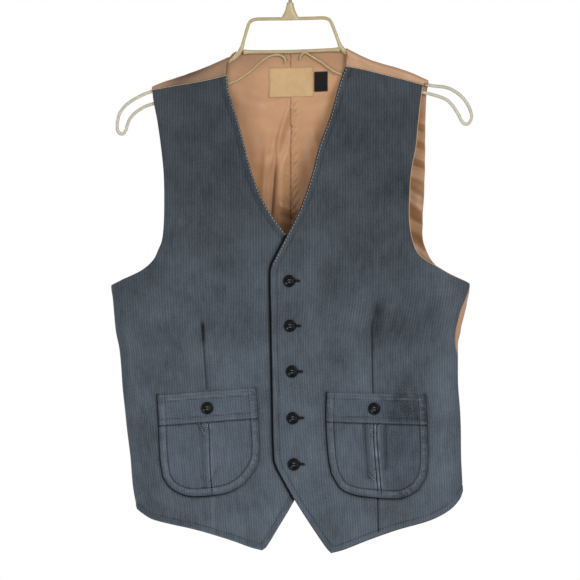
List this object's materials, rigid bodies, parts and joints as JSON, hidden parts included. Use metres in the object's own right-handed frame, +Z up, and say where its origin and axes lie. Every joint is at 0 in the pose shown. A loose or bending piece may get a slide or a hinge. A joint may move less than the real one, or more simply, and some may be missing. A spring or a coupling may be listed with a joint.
{
  "type": "corduroy vest on a plastic hanger",
  "caption": "Buttoned western vest, corduroy fronts with patch pockets and pointed hem, satin back and lining, hung on a plastic hanger with a steel hook",
  "frame": {"origin": "the point inside the hook's bend that rests on a rail", "axes": "+Z up, the fronts face -Y, +X is the wearer's left"},
  "size_m": [0.4714, 0.0705, 0.775],
  "materials": {
    "corduroy_front": "matte",
    "corduroy_pocket": "matte",
    "satin": "satin",
    "button": "gloss",
    "label_cream": "matte",
    "label_black": "matte",
    "hanger_plastic": "gloss",
    "hook_steel": "satin"
  },
  "bodies": {
    "root": {"front_left": "corduroy_front", "front_right": "corduroy_front", "pocket_left": "corduroy_pocket", "pocket_right": "corduroy_pocket", "back_left": "satin", "back_right": "satin", "button_1": "button", "button_2": "button", "button_3": "button", "button_4": "button", "button_5": "button", "pocket_button_left": "button", "pocket_button_right": "button", "label_main": "label_cream", "label_size": "label_black", "hanger_frame": "hanger_plastic", "hanger_hook": "hook_steel"}
  },
  "joints": []
}
